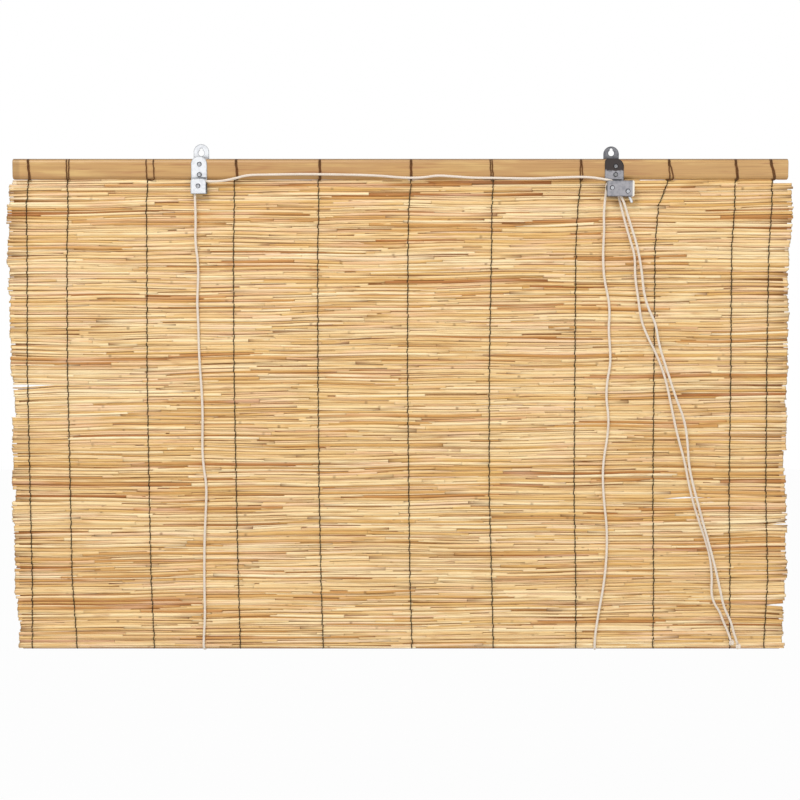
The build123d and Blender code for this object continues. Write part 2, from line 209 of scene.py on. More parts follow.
class Shader:
    """A material's node tree, with short calls for the nodes used here."""

    def __init__(self, name, roughness, metallic=0.0):
        self.material = bpy.data.materials.new(name)
        self.material.use_nodes = True
        self.tree = self.material.node_tree
        self.bsdf = self.tree.nodes["Principled BSDF"]
        self.bsdf.inputs["Roughness"].default_value = roughness
        self.bsdf.inputs["Metallic"].default_value = metallic

    def node(self, kind, **settings):
        made = self.tree.nodes.new(kind)
        for key, value in settings.items():
            setattr(made, key, value)
        return made

    def feed(self, socket, value):
        if isinstance(value, bpy.types.NodeSocket):
            self.tree.links.new(value, socket)
        else:
            socket.default_value = value

    def math(self, operation, a, b=0.0):
        made = self.node("ShaderNodeMath", operation=operation)
        self.feed(made.inputs[0], a)
        self.feed(made.inputs[1], b)
        return made.outputs[0]

    def step(self, value, low, high):
        made = self.node("ShaderNodeMapRange", interpolation_type="SMOOTHSTEP", clamp=True)
        self.feed(made.inputs["Value"], value)
        made.inputs["From Min"].default_value = low
        made.inputs["From Max"].default_value = high
        return made.outputs[0]

    def mix(self, share, a, b, blend="MIX"):
        made = self.node("ShaderNodeMix", data_type="RGBA", blend_type=blend)
        self.feed(made.inputs[0], share)
        self.feed(made.inputs[6], a)
        self.feed(made.inputs[7], b)
        return made.outputs[2]

    def noise(self, vector, scale, detail=3.0, roughness=0.55):
        made = self.node("ShaderNodeTexNoise")
        self.feed(made.inputs["Vector"], vector)
        made.inputs["Scale"].default_value = scale
        made.inputs["Detail"].default_value = detail
        made.inputs["Roughness"].default_value = roughness
        return made.outputs[0]

    def vector(self, x, y, z):
        made = self.node("ShaderNodeCombineXYZ")
        for socket, value in zip(made.inputs, (x, y, z)):
            self.feed(socket, value)
        return made.outputs[0]

    def place(self):
        """Object coordinates as x, y and z."""
        coordinates = self.node("ShaderNodeTexCoord")
        parts = self.node("ShaderNodeSeparateXYZ")
        self.feed(parts.inputs[0], coordinates.outputs["Object"])
        return parts.outputs

    def run(self):
        """The UV's length in millimetres and its share of a turn."""
        uv = self.node("ShaderNodeUVMap", uv_map="run")
        parts = self.node("ShaderNodeSeparateXYZ")
        self.feed(parts.inputs[0], uv.outputs[0])
        return parts.outputs

    def marks(self):
        """The four numbers kept per vertex."""
        attribute = self.node("ShaderNodeAttribute", attribute_name="marks")
        parts = self.node("ShaderNodeSeparateColor")
        self.feed(parts.inputs[0], attribute.outputs["Color"])
        return (*parts.outputs[:3], attribute.outputs["Alpha"])

    def ramp(self, value, stops):
        made = self.node("ShaderNodeValToRGB")
        self.feed(made.inputs[0], value)
        elements = made.color_ramp.elements
        while len(elements) < len(stops):
            elements.new(0.5)
        for element, (place, colour) in zip(elements, stops):
            element.position = place
            element.color = colour
        return made.outputs[0]

    def edge(self, radius):
        """1 along sharp edges and 0 on flat faces: how far a rounded normal turns from the real one."""
        bevel = self.node("ShaderNodeBevel", samples=4)
        bevel.inputs["Radius"].default_value = radius
        geometry = self.node("ShaderNodeNewGeometry")
        dot = self.node("ShaderNodeVectorMath", operation="DOT_PRODUCT")
        self.feed(dot.inputs[0], bevel.outputs[0])
        self.feed(dot.inputs[1], geometry.outputs["Normal"])
        return self.step(self.math("SUBTRACT", 1.0, dot.outputs["Value"]), 0.003, 0.07)

    def corner(self, distance):
        """1 deep in a corner and 0 on open faces, from ambient occlusion; it is used to paint shade into
        corners.
        """
        occlusion = self.node("ShaderNodeAmbientOcclusion", samples=8)
        occlusion.inputs["Distance"].default_value = distance
        return self.step(self.math("SUBTRACT", 1.0, occlusion.outputs["AO"]), 0.15, 0.7)

    def bump(self, height, strength, distance):
        made = self.node("ShaderNodeBump")
        made.inputs["Strength"].default_value = strength
        made.inputs["Distance"].default_value = distance
        self.feed(made.inputs["Height"], height)
        self.feed(self.bsdf.inputs["Normal"], made.outputs[0])

    def finish(self, colour):
        self.feed(self.bsdf.inputs["Base Color"], colour)
        return self.material


def reed_material():
    """Split reeds: a tone of its own for each, long fibres, weathered streaks, nodes, dark cut ends, and the
    painted shade of the dark tubes between them.
    """
    s = Shader("reed", 0.5)
    tone, seed, dark, cut = s.marks()
    length, turn = s.run()[:2]
    colour = s.ramp(
        tone,
        (
            (0.0, linear(254, 234, 190)),
            (0.28, linear(247, 219, 165)),
            (0.5, linear(238, 202, 142)),
            (0.7, linear(225, 182, 110)),
            (0.86, linear(205, 150, 84)),
            (1.0, linear(170, 106, 48)),
        ),
    )
    shift = s.math("MULTIPLY", seed, 977.0)
    slow = s.vector(s.math("MULTIPLY", length, 0.013), shift, s.math("MULTIPLY", turn, 0.5))
    blotch = s.step(s.noise(slow, 1.0, 2.0), 0.5, 0.7)
    colour = s.mix(s.math("MULTIPLY", blotch, 0.6), colour, linear(212, 164, 92))
    slow_pink = s.vector(s.math("MULTIPLY", length, 0.009), s.math("ADD", shift, 57.0), 0.0)
    pink = s.step(s.noise(slow_pink, 1.0, 1.0), 0.5, 0.68)
    colour = s.mix(s.math("MULTIPLY", pink, 0.5), colour, linear(240, 200, 166))
    slow_red = s.vector(s.math("MULTIPLY", length, 0.02), s.math("ADD", shift, 31.0), turn)
    rusty = s.step(s.noise(slow_red, 1.0, 3.0), 0.62, 0.78)
    colour = s.mix(s.math("MULTIPLY", rusty, 0.5), colour, linear(176, 112, 54))
    fibres = s.vector(s.math("MULTIPLY", length, 0.035), shift, s.math("MULTIPLY", turn, 18.0))
    fibre = s.noise(fibres, 1.0, 3.0, 0.65)
    colour = s.mix(s.step(fibre, 0.5, 0.8), colour, linear(204, 160, 102), "MULTIPLY")
    # dark holds the nodes, the darkened ends and the painted shade of the tubes between the reeds
    colour = s.mix(s.math("MULTIPLY", dark, 0.82), colour, linear(122, 74, 32))
    colour = s.mix(s.math("MULTIPLY", cut, 0.6), colour, linear(120, 84, 46))
    s.bump(fibre, 0.25, 0.0003)
    s.bsdf.inputs["Specular IOR Level"].default_value = 0.4
    return s.finish(colour)


full_turn = 6.2832
thread_twist = 5.0
two_plies = 12.566


def thread_material(name, green, brown):
    """Dark thread of two twisted plies, whose tone drifts along its length."""
    s = Shader(name, 0.85)
    length, turn = s.run()[:2]
    tone = s.noise(s.vector(s.math("MULTIPLY", length, 0.02), 3.0, 0.0), 1.0, 2.0)
    colour = s.mix(s.step(tone, 0.42, 0.6), linear(*green), linear(*brown))
    lay = s.math("MULTIPLY", length, thread_twist)
    ply = s.math("SINE", s.math("ADD", lay, s.math("MULTIPLY", turn, two_plies)))
    colour = s.mix(s.math("MULTIPLY", s.step(ply, -0.2, 1.0), 0.6), colour, linear(26, 22, 12))
    s.bump(ply, 0.5, 0.0002)
    return s.finish(colour)


def cord_material():
    """Off white cotton with fine twisted yarns, painted shade in the grooves between them, and a few darker
    marks.
    """
    s = Shader("cord", 0.9)
    length, turn = s.run()[:2]
    lay = s.math("MULTIPLY", length, full_turn / cord_twist)
    around = s.math("SUBTRACT", s.math("MULTIPLY", turn, full_turn), lay)
    yarn = s.math("SINE", s.math("MULTIPLY", around, cord_yarns))
    soil = s.noise(s.vector(s.math("MULTIPLY", length, 0.03), turn, 0.0), 1.0, 3.0)
    colour = s.mix(s.step(soil, 0.5, 0.75), linear(252, 243, 230), linear(234, 216, 198))
    # Painted shade: darker in the grooves between the yarns
    colour = s.mix(s.step(yarn, -0.4, 0.7), linear(222, 204, 184), colour)
    s.bump(yarn, 0.4, 0.0002)
    s.bsdf.inputs["Sheen Weight"].default_value = 0.3
    return s.finish(colour)


def rail_material():
    """Bare split bamboo: fine fibres lengthwise, mottled streaks, painted shade along the top edge."""
    s = Shader("rail_wood", 0.42)
    x, y, z = s.place()

    def grain(along, across, shift, detail=3.0):
        along_x = s.math("MULTIPLY", x, along)
        across_y = s.math("MULTIPLY", y, across)
        across_z = s.math("MULTIPLY", z, across)
        return s.noise(s.vector(along_x, across_y, s.math("ADD", across_z, shift)), 1.0, detail)

    fine = grain(9.0, 900.0, 0.0)
    streak = grain(14.0, 260.0, 5.0)
    colour = s.mix(s.step(grain(5.0, 30.0, 0.0, 2.0), 0.38, 0.62), linear(199, 156, 98), linear(190, 146, 94))
    colour = s.mix(s.step(grain(11.0, 120.0, 9.0), 0.5, 0.72), colour, linear(211, 173, 112))
    colour = s.mix(s.step(streak, 0.54, 0.74), colour, linear(178, 128, 82))
    colour = s.mix(s.math("MULTIPLY", s.step(fine, 0.45, 0.78), 0.7), colour, linear(160, 116, 68))
    # Painted shade: darker along the rounded top edge, which turns from the light
    top = s.step(z, -0.0092, -0.0074)
    colour = s.mix(s.math("MULTIPLY", top, 0.75), colour, linear(104, 84, 62))
    ends = s.step(s.math("ABSOLUTE", x), 0.447, 0.4505)
    colour = s.mix(s.math("MULTIPLY", ends, 0.35), colour, linear(128, 92, 56))
    s.bump(fine, 0.2, 0.0002)
    return s.finish(colour)


# Colour of the darker sharp edges and of the painted shade in corners
dark_edge_and_corner_shade = (38, 40, 44)
# Colour of the painted shadow line along a crease
crease_shadow = (34, 36, 38)
edge_width = 0.002
corner_width = 0.012


def steel_material(name, shade, dull, roughness, band=None, rim=None, crease=None):
    """Zinc plated sheet: fine brushing, cloudy plating, darker sharp edges, and painted shade in corners and
    between parts.

    band is a tinted top part, with a ragged lower edge from low to high. rim is a painted highlight on the
    right, which fades in from start to end. crease is a painted shadow line from low to high, strongest from
    start to end along x. All are in metres."""
    s = Shader(name, roughness, metallic=1.0)
    x, y, z = s.place()
    cloud = s.noise(s.vector(x, y, z), 260.0, 3.0)
    brushed = s.noise(s.vector(s.math("MULTIPLY", x, 900.0), y, s.math("MULTIPLY", z, 90.0)), 1.0, 2.0)
    colour = s.mix(s.math("MULTIPLY", s.step(cloud, 0.4, 0.7), 0.6), linear(*shade), linear(*dull))
    if band:
        low, high, tint = band
        ragged = s.math("ADD", z, s.math("MULTIPLY", s.math("SUBTRACT", cloud, 0.5), 0.006))
        colour = s.mix(s.step(ragged, low, high), colour, linear(*tint))
    # Darker along sharp edges, and painted shade in corners and between parts, where the occlusion mask is
    # high
    edges_and_painted_light = s.math("MAXIMUM", s.math("MULTIPLY", s.edge(edge_width), 0.75), s.corner(corner_width))
    colour = s.mix(s.math("MULTIPLY", edges_and_painted_light, 0.9), colour, linear(*dark_edge_and_corner_shade))
    # Painted highlight: the bent flange on the right is lighter, as it catches the light
    if rim:
        start, end, tint = rim
        colour = s.mix(s.math("MULTIPLY", s.step(x, start, end), 0.85), colour, linear(*tint))
    # Painted shadow: a dark line along the crease above the housing's cheek, where the cheek stands in front
    # of the plate
    if crease:
        low, high, start, end = crease
        above = s.math("MULTIPLY", s.step(z, low, low + 0.0003), s.step(z, high, high - 0.0012))
        begins = s.step(x, start - 0.004, start + 0.004)
        beside = s.math("MULTIPLY", begins, s.step(x, end + 0.001, end - 0.001))
        share = s.math("MULTIPLY", above, s.math("ADD", s.math("MULTIPLY", beside, 0.6), 0.25))
        colour = s.mix(share, colour, linear(*crease_shadow))
    s.bump(brushed, 0.1, 0.0001)
    return s.finish(colour)


# The way a rivet head faces where its highlight is painted, and the colour of the painted shade round its rim
highlight_way = (0.0, -0.966, -0.259)
rivet_rim_shade = (50, 50, 56)


def rivet_material(name, bright, dull):
    """Rolled rivet and pin heads: a painted highlight a little below the middle, painted shade round the rim.
    """
    s = Shader(name, 0.24, metallic=1.0)
    geometry = s.node("ShaderNodeNewGeometry")
    facing = s.node("ShaderNodeVectorMath", operation="DOT_PRODUCT")
    s.feed(facing.inputs[0], geometry.outputs["Normal"])
    facing.inputs[1].default_value = highlight_way
    x, y, z = s.place()
    scuff = s.noise(s.vector(x, y, z), 900.0, 2.0)
    top = s.mix(s.step(scuff, 0.4, 0.7), linear(*bright), linear(*dull))
    # Painted highlight where the head faces down and to the front, painted shade round the rim
    edges_and_painted_light = s.step(facing.outputs["Value"], 0.93, 0.99)
    return s.finish(s.mix(edges_and_painted_light, linear(*rivet_rim_shade), top))


reed = reed_material()
thread = thread_material("thread", (56, 55, 26), (74, 50, 22))
rail_thread = thread_material("rail_thread", (92, 62, 28), (122, 74, 30))
cord_white = cord_material()
rail_wood = rail_material()
new_zinc = (240, 242, 245)
cloudy_zinc = (208, 210, 216)
bright_steel = steel_material("bright_steel", new_zinc, cloudy_zinc, 0.3)
bright_rivet = rivet_material("bright_rivet", (240, 242, 246), (190, 192, 198))
dull_rivet = rivet_material("dull_rivet", (178, 178, 178), (120, 120, 120))
# Painted shade: the right hanger plate is given a darker zinc, as it lies in shade
shaded_zinc = steel_material("shaded_zinc", (128, 128, 132), (88, 88, 94), 0.32)
# Where each housing's painted shadow line runs: low, high, start and end in metres
left_crease = (-0.0302, -0.0278, -0.2405, -0.2316)
right_crease = (-0.0327, -0.0300, 0.2370, 0.2500)
crease_shadow_steel = steel_material("crease_shadow_steel", new_zinc, cloudy_zinc, 0.3, crease=left_crease)
dark_top = (-0.022, -0.0195, (70, 64, 62))
# The flange on the right, painted lighter as a highlight
flange_highlight = (0.2608, 0.2614, (240, 234, 220))
dull_steel = steel_material(
    "dull_steel",
    (162, 160, 164),
    (120, 122, 128),
    0.3,
    band=dark_top,
    rim=flange_highlight,
    crease=right_crease,
)
wheel_steel = steel_material("wheel_steel", (128, 128, 126), (90, 88, 86), 0.4)

# The mat's rows

# Each wave's height, the length in which its angle grows by one, and its drift from row to row
row_waves = ((0.75, 97, 0.13), (0.55, 41, -0.21), (0.35, 23, 0.37))
# Six starts are drawn, of which the waves use the first three
wave_starts = [draw.uniform(0, 6.28) for _ in range(6)]
top_rows_held = 6
bottom_rows_held = 7


def row_wave(x, row):
    """How far a row lies above or below its level place at x.

    Neighbours nearly agree, as the threads hold them, and the first and last rows lie straight."""
    held = blend_share(row, 0, top_rows_held) * blend_share(row_count - 1 - row, 0, bottom_rows_held)
    wave = 0.0
    for (height, length, drift), start in zip(row_waves, wave_starts):
        wave += height * math.sin(x / length + row * drift + start)
    for gap in gaps:
        near = math.exp(-((x - gap["x"]) / gap["half"]) ** 2)
        away = gap["row"] - row
        wave += gap["open"] * near * math.copysign(math.exp(-abs(away) / 2.2), away)
    return held * wave


def openness(x, row):
    """1 at the middle of a gap for the two rows beside it, 0 away from all gaps."""
    shares = [0.0]
    for gap in gaps:
        if abs(gap["row"] - row) < 1:
            shares.append(math.exp(-((x - gap["x"]) / (1.3 * gap["half"])) ** 4))
    return max(shares)


def row_z(row):
    return first_row_z - row * row_pitch


run_spread = 1.1
spread_in_run = 0.4
rows_in_run = (2, 6)


def edge_steps():
    """How far each row's end lies in or out. Runs of rows step together."""
    steps = []
    while len(steps) < row_count:
        offset = draw.gauss(0, run_spread)
        steps.extend(offset + draw.gauss(0, spread_in_run) for _ in range(draw.randint(*rows_in_run)))
    return steps[:row_count]


left_steps = edge_steps()
right_steps = edge_steps()
first_row_inset = 3.0
first_row_short = 21.0
left_steps[0] += first_row_inset
right_steps[0] -= first_row_short


def row_ends(row):
    left = from_table(left_edge, row_z(row)) + left_steps[row]
    right = from_table(right_edge, row_z(row)) + right_steps[row]
    return left, right


# One reed's nodes, and how long and how dark one of its ends is
first_node = (60, 420)
node_distance = (220, 420)
last_node_inset = 30
dark_length = (12, 34)
dark_shares = (0.0, 0.0, 0.35, 0.6, 0.9)
node_tints = (0.25, 0.8)
# Places along a node, and the share of its tint there
node_profile = ((-2.6, 0.0), (-0.5, 1.0), (0.7, 0.8), (2.6, 0.0))
clear_of_node = 5
first_ring_inset = 8
last_ring_inset = 7
cut_length = 1.5
cut_shade = 0.6
cut_fade = 0.4


def reed_stations(x0, x1, spacing):
    """(x, cut, node, dark) along one reed.

    It has cut ends and a node now and then, and some reeds have an end that darkens."""
    nodes = []
    at = x0 + draw.uniform(*first_node)
    while at < x1 - last_node_inset:
        nodes.append(at)
        at += draw.uniform(*node_distance)
    fade = draw.uniform(*dark_length)
    most = draw.choice(dark_shares)
    from_left = draw.random() < 0.5
    stations = []
    x = x0 + first_ring_inset
    while x < x1 - last_ring_inset:
        if all(abs(x - n) > clear_of_node for n in nodes):
            stations.append((x, 0.0))
        x += spacing
    for n in nodes:
        tint = draw.uniform(*node_tints)
        stations.extend((n + along, tint * share) for along, share in node_profile)
    stations.extend((x, 0.0) for x in (x0, x0 + cut_length, x1 - cut_length, x1))
    found = []
    for x, node in sorted(stations):
        away = x - x0 if from_left else x1 - x
        cut = max(0.0, cut_shade - cut_fade * min(x - x0, x1 - x))
        found.append((x, cut, node, max(node, most * max(0.0, 1 - away / fade))))
    return found


reed_squash = (0.86, 1.0)
reed_wobble = 0.05
thick_end = 1.06
reed_taper = 0.24
node_swell = 0.13
hollow_mouth = 0.62
hollow_floor = 0.5
hollow_depth = 1.6


def reed_rings(x0, x1, y_at, z_at, radius, tone, sides, spacing):
    """The rings of one reed: a hollow cut end, a taper, nodes now and then, another cut end."""
    thick_first = draw.random() < 0.5
    seed = draw.random()
    squash = draw.uniform(*reed_squash)
    wobble = [draw.uniform(-reed_wobble, reed_wobble) for _ in range(sides)]

    def ring(x, scale, cut, node, dark, inset=0.0):
        along = (x - x0) / (x1 - x0)
        taper = thick_end - reed_taper * (along if thick_first else 1 - along)
        r = radius * taper * scale * (1 + node_swell * node)
        entries = []
        for k in range(sides):
            a = 2 * math.pi * k / sides
            rr = r * (1 + wobble[k])
            point = (x + inset, y_at(x) + rr * squash * math.cos(a), z_at(x) + rr * math.sin(a))
            entries.append((point, (tone, seed, dark, cut), x))
        return entries

    rings = [ring(x0, hollow_floor, 1.0, 0.0, 0.0, hollow_depth), ring(x0, hollow_mouth, 1.0, 0.0, 0.0)]
    for x, cut, node, dark in reed_stations(x0, x1, spacing):
        rings.append(ring(x, 1.0, cut, node, dark))
    rings.append(ring(x1, hollow_mouth, 1.0, 0.0, 0.0))
    rings.append(ring(x1, hollow_floor, 1.0, 0.0, 0.0, -hollow_depth))
    return rings


reed_length = (70, 250)
last_reed_length = 60
reed_lap = (6, 34)
rising_share = 0.78
rise = (0.25, 1.05)
fall = (0.1, 0.6)
lean = 0.35
line_end_spread = 0.5
line_tone_spread = 0.04
tone_shape = (1.7, 2.6)
brown_share = 0.05
brown_tones = (0.8, 1.0)


def add_line_of_reeds(builder, row, lift, depth, radius_low, radius_high, sides, spacing):
    """Reeds laid end to end along one row. Each laps past the next, and most rise to the right."""
    left, right = row_ends(row)
    left += draw.gauss(0, line_end_spread)
    right += draw.gauss(0, line_end_spread)
    x = left
    side = draw.choice((-1, 1))
    line_tone = draw.gauss(0.0, line_tone_spread)
    while x < right - 1:
        end = x + draw.uniform(*reed_length)
        if right - end < last_reed_length:
            end = right
        radius = draw.uniform(radius_low, radius_high)
        tone = min(1.0, max(0.0, draw.betavariate(*tone_shape) + line_tone))
        if draw.random() < brown_share:
            tone = draw.uniform(*brown_tones)
        slant = draw.uniform(*rise) if draw.random() < rising_share else -draw.uniform(*fall)
        middle = (x + end) / 2
        half = (end - x) / 2
        base = row_z(row) + lift

        def z_at(at, base=base, slant=slant, middle=middle, half=half):
            return base + row_wave(at, row) + slant * (at - middle) / half

        def y_at(at, middle=middle, half=half, side=side):
            return mat_y + depth + lean * side * (at - middle) / half

        builder.ring_tube(reed_rings(x, end, y_at, z_at, radius, tone, sides, spacing))
        if end >= right:
            break
        x = end - draw.uniform(*reed_lap)
        side = -side


# The dark tubes between the reeds are painted shade: they make the lines of shade between the reeds
shade_line_inset = 5.0
shade_line_sides = 4
shade_line_steps = 40
shade_line_depth = 0.2
shade_line_r = 1.3
shade_line_tone = 0.9
shade_line_dark = 0.72
shade_line_thinning = 0.85


def add_shade_line(builder, row, lift):
    """A dark thin tube deep between the reeds, which paints the line of shade between them."""
    left, right = row_ends(row)
    left += shade_line_inset
    right -= shade_line_inset
    seed = draw.random()
    rings = []
    for i in range(shade_line_steps + 1):
        x = left + (right - left) * i / shade_line_steps
        thin = 1 - shade_line_thinning * openness(x, row)
        z = row_z(row) + lift * thin + row_wave(x, row)
        r = shade_line_r * thin
        entries = []
        for k in range(shade_line_sides):
            a = 2 * math.pi * k / shade_line_sides
            point = (x, mat_y + shade_line_depth + r * math.cos(a), z + r * math.sin(a))
            entries.append((point, (shade_line_tone, seed, shade_line_dark, 0.0), x))
        rings.append(entries)
    builder.ring_tube(rings)


# Each line of reeds has a depth, a least and a most radius, sides, and a distance between its rings
bold_line = (-0.45, 1.35, 1.95, 8, 22)
thin_line = (-0.3, 0.7, 1.25, 8, 22)
back_line = (0.95, 0.9, 1.25, 6, 45)
bold_lift = 0.8
thin_lift = 1.5
back_lift = 1.1


def add_row(builder, row):
    """A bold and a thin line of reeds in front, two more behind, and dark tubes deep between them as painted
    shade.
    """
    up = draw.choice((-1, 1))
    add_line_of_reeds(builder, row, bold_lift * up, *bold_line)
    add_line_of_reeds(builder, row, -thin_lift * up, *thin_line)
    add_line_of_reeds(builder, row, back_lift, *back_line)
    add_line_of_reeds(builder, row, -back_lift, *back_line)
    add_shade_line(builder, row, 0.0)
    add_shade_line(builder, row, -row_pitch / 2)


def hinge_row(band):
    """The index of the first row below the hinge above a band."""
    return band * rows_per_band


def pieces_of_mat():
    """(name, first row, row after the last, band, body) of each piece from top to bottom.

    A piece at a hinge has the band below its hinge and no body, and the others have a body and no band."""
    half = rows_per_band // 2
    first_hinge = hinge_row(fixed_bands)
    yield "top", 0, first_hinge - half, None, "blind"
    for band in range(fixed_bands, band_count):
        start = hinge_row(band) - half
        yield f"bend_{band + 1:02d}", start, start + rows_per_band, band, None
    yield "bottom", hinge_row(band_count - 1) + half + 1, row_count, None, f"mat_{band_count:02d}"


def hold(piece, band, body):
    """Lets a piece ride on a body, or bakes its place into its mesh when it lies at a hinge."""
    if band is None:
        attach(piece, body)
        return
    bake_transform(piece)


def nodes_of_rows(first, after):
    """The band nodes whose rows begin within these rows."""
    return sorted({f"reed_band_{row // rows_per_band + 1:02d}" for row in range(first, after)})


for name, first, after, band, body in pieces_of_mat():
    builder = Builder()
    for row in range(first, after):
        add_row(builder, row)
    piece = builder.make(f"reeds_{name}", reed)
    hold(piece, band, body)
    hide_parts(*nodes_of_rows(first, after))

# Warp threads: two strands that cross between the rows

no_mark = (0, 0, 0, 0)
strand_sides = 6
rail_strand_sides = 8
steps_per_row = 4
front_strand_out = 2.9
back_strand_out = 2.75
lath_strand_out = 0.6
strand_swing = 0.2
swing_power = 0.4
thread_jog = 0.6
last_row_r = 2.1


def tube_along(builder, points, radius, sides):
    """A round tube along points that lie close together, in the same frame all the way.

    radius is a number, or a function of the length so far and the angle. Returns the tube's length."""
    rings = []
    length = 0.0
    aside = Vector((1, 0, 0))
    for i, point in enumerate(points):
        before = Vector(points[max(0, i - 1)])
        after = Vector(points[min(len(points) - 1, i + 1)])
        way = (after - before).normalized()
        aside = (aside - way * aside.dot(way)).normalized()
        up = way.cross(aside)
        if i:
            length += (Vector(point) - Vector(points[i - 1])).length
        entries = []
        for k in range(sides):
            a = 2 * math.pi * k / sides
            r = radius(length, a) if callable(radius) else radius
            spot = Vector(point) + aside * (r * math.cos(a)) + up * (r * math.sin(a))
            entries.append((tuple(spot), no_mark, length))
        rings.append(entries)
    builder.ring_tube(rings)
    return length


def warp_x_at(number, z):
    """A warp thread's x, with the small steps it makes from row to row."""
    row = round((first_row_z - z) / row_pitch)
    jog = thread_jog * math.sin(row * 2.1 + number * 1.7) * math.sin(row * 0.37 + number)
    return from_table(tuple(zip(warp_heights, warp_paths[number])), z) + jog


def strand_point(number, strand, z):
    """Where a strand lies at a height. The two strands change from front to back at every row."""
    rows_down = (first_row_z - z) / row_pitch
    swing = math.cos(math.pi * (rows_down + strand))
    swing = math.copysign(abs(swing) ** swing_power, swing)
    side = strand_swing if strand else -strand_swing
    x = warp_x_at(number, z) + side * math.sin(math.pi * rows_down)
    row = min(row_count - 1, max(0, round(rows_down)))
    front = mat_y - front_strand_out
    back = mat_y + back_strand_out
    y = (front + back) / 2 - (back - front) / 2 * swing
    return (x, y, z + row_wave(x, row))


def strand_heights(first, after):
    """Heights from half a row above the first row to half a row below the last."""
    count = (after - first) * steps_per_row
    top = row_z(first) + row_pitch / 2
    return [top - row_pitch * i / steps_per_row for i in range(count + 1)]


def make_threads(builder, name, material, band, body):
    """Turns what the builder holds into a piece of the warp threads."""
    piece = builder.make(f"threads_{name}", material)
    hold(piece, band, body)
    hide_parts("warp_threads")


for name, first, after, band, body in pieces_of_mat():
    if name == "bottom":
        continue
    builder = Builder()
    for number in range(len(warp_paths)):
        for strand in (0, 1):
            points = [strand_point(number, strand, z) for z in strand_heights(first, after)]
            tube_along(builder, points, strand_r, strand_sides)
    make_threads(builder, name, thread, band, body)


def bottom_strands(builder, number):
    """One strand stays in front of the last rows, the other goes behind the lath, and both meet below."""
    first = hinge_row(band_count - 1) + rows_per_band // 2 + 1
    heights = strand_heights(first, row_count)
    bottom_z = row_z(row_count - 1) - last_row_r
    for strand, side in ((0, -1), (1, 1)):
        points = []
        for z in heights:
            x, y, z_there = strand_point(number, strand, z)
            share = blend_share(-z, -row_z(first) - 2.3, -row_z(first) + 1.6)
            resting = mat_y - front_strand_out if side < 0 else lath_back + lath_strand_out
            points.append((x, y + (resting - y) * share, z_there))
        x = points[-1][0]
        y_end = points[-1][1]
        points.append((x + 0.2 * side, y_end * 0.92 + mat_y * 0.08, bottom_z - 0.2))
        points.append((x + 0.3 * side, y_end * 0.5 + mat_y * 0.5, bottom_z - 0.75))
        points.append((x - 0.3 * side, mat_y + 0.6 * side, bottom_z - 0.9))
        tube_along(builder, points, strand_r, strand_sides)


builder = Builder()
for number in range(len(warp_paths)):
    bottom_strands(builder, number)
make_threads(builder, "bottom", thread, None, f"mat_{band_count:02d}")


def smooth(points, per_span):
    """Points along a curve that passes through all the given ones."""
    vectors = [Vector(p) for p in points]
    vectors = [vectors[0] * 2 - vectors[1], *vectors, vectors[-1] * 2 - vectors[-2]]
    out = []
    for a, b, c, d in zip(vectors, vectors[1:], vectors[2:], vectors[3:]):
        slope = c - a
        bend = 2 * a - 5 * b + 4 * c - d
        twist = 3 * b - a - 3 * c + d
        for i in range(per_span):
            t = i / per_span
            out.append(0.5 * (2 * b + slope * t + bend * t**2 + twist * t**3))
    out.append(vectors[-2])
    return [tuple(p) for p in out]


def strand_over_rail(number, strand):
    """Points of one strand from the first row up the front of the head rail, over it and down behind."""
    out = 0.8 * rail_strand_r
    x_top, x_low = rail_strands[number][strand]
    start_x = warp_x_at(number, first_row_z + row_pitch / 2)
    front, back = rail_front - out, rail_back + out
    outline = [
        (start_x, mat_y - 1.4, rail_bottom - 0.2),
        (start_x + (x_low - start_x) * 0.6, mat_y - 3.3, rail_bottom - out),
        (x_low, front + 1.6, rail_bottom + 0.4),
        (x_low, front + 0.35, rail_bottom + 2.6),
    ]
    for i in range(1, 8):
        share = i / 8
        bow = 0.25 * math.sin(share * 9 + number + strand)
        outline.append((x_low + (x_top - x_low) * share + bow, front, rail_bottom + 5 + share * 14))
    outline.extend(
        (
            (x_top, front + 0.4, rail_top - 2.7),
            (x_top, front + 1.8, rail_top - 1.5),
            (x_top, front + rail_round_r + 0.6, rail_top - 0.9),
            (x_top, front + rail_round_r + 2.6, rail_top - 0.7),
            (x_top + 0.1, back - 1.2, rail_top - 0.5),
            (x_top + 0.3, back, rail_top - 0.9),
            (x_top + 0.3, back, rail_top - 3.0),
            (x_top + 0.3, back, rail_top - 9.0),
            (x_top + 0.2, back, rail_bottom + 1.2),
            (start_x, back - 1.0, rail_bottom - 0.5),
            (start_x, mat_y + 1.4, rail_bottom - 0.9),
        )
    )
    return smooth(outline, 5)


builder = Builder()
for number in range(len(warp_paths)):
    for strand in (0, 1):
        tube_along(builder, strand_over_rail(number, strand), rail_strand_r, rail_strand_sides)
make_threads(builder, "over_rail", rail_thread, None, "blind")

# Cords

